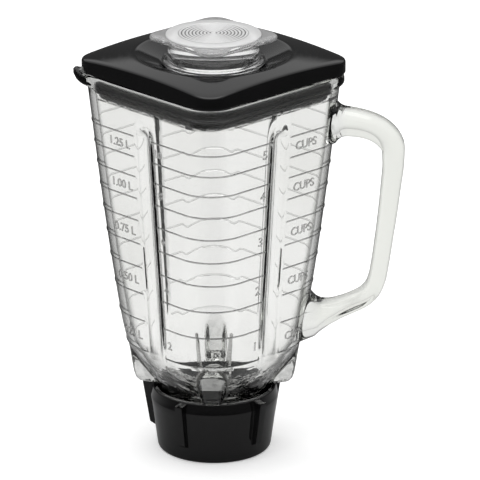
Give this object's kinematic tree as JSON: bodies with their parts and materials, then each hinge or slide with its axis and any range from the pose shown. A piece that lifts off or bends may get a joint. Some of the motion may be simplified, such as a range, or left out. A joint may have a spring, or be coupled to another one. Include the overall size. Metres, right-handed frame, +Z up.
{
  "type": "blender jar",
  "caption": "Square fluted glass blender jar with handle and pour lip, domed black lid, clear filler cap, threaded screw cap and blade unit",
  "frame": {"origin": "on the jar's axis, at the rim that the screw cap stands on", "axes": "+Z up along the jar's axis, +X towards the handle, so the pour lip is at -X"},
  "size_m": [0.1989, 0.1566, 0.262],
  "materials": {
    "glass": "clear pressed glass",
    "black_plastic": "gloss moulded",
    "clear_plastic": "clear moulded",
    "rubber": "matt",
    "steel": "satin stainless",
    "bronze": "sintered",
    "nylon": "natural"
  },
  "bodies": {
    "jar": {"glass_jar": "glass"},
    "lid": {"lid_shell": "black_plastic", "lid_seal": "rubber"},
    "filler": {"filler_cap": "clear_plastic"},
    "blade_unit": {"sealing_ring": "rubber", "bearing_plate": "steel", "plate_washer": "rubber", "bearing_housing": "steel", "housing_nut": "steel", "lower_bush": "bronze", "upper_bush": "bronze", "shaft_seal": "rubber"},
    "screw_cap": {"base_cap": "black_plastic"},
    "rotor": {"drive_shaft": "steel", "lower_thrust_washer": "nylon", "retaining_clip": "steel", "upper_thrust_washer": "nylon", "drive_square": "steel", "lower_blades": "steel", "blade_spacer": "steel", "upper_blades": "steel", "lock_washer": "steel", "cap_nut": "steel"}
  },
  "joints": [
    {"name": "lid_lift", "type": "slide", "parent": "jar", "child": "lid", "axis": [0, 0, 1], "range_m": [0, 0.1]},
    {"name": "filler_cap_lift", "type": "slide", "parent": "lid", "child": "filler", "axis": [0, 0, 1], "range_m": [0, 0.06]},
    {"name": "base_cap_unscrew", "type": "hinge", "parent": "blade_unit", "child": "screw_cap", "pos_m": [0, 0, 0], "axis": [0, 0, -1], "range_deg": [0, 600]},
    {"name": "blade_unit_drop", "type": "slide", "parent": "jar", "child": "blade_unit", "axis": [0, 0, -1], "range_m": [0, 0.0101]},
    {"name": "blade_spin", "type": "hinge", "parent": "blade_unit", "child": "rotor", "pos_m": [0, 0, 0], "axis": [0, 0, 1], "continuous": true}
  ],
  "couplings": [
    {"joint": "blade_unit_drop", "follows": "base_cap_unscrew", "m_per_rad": 0.00095493}
  ]
}
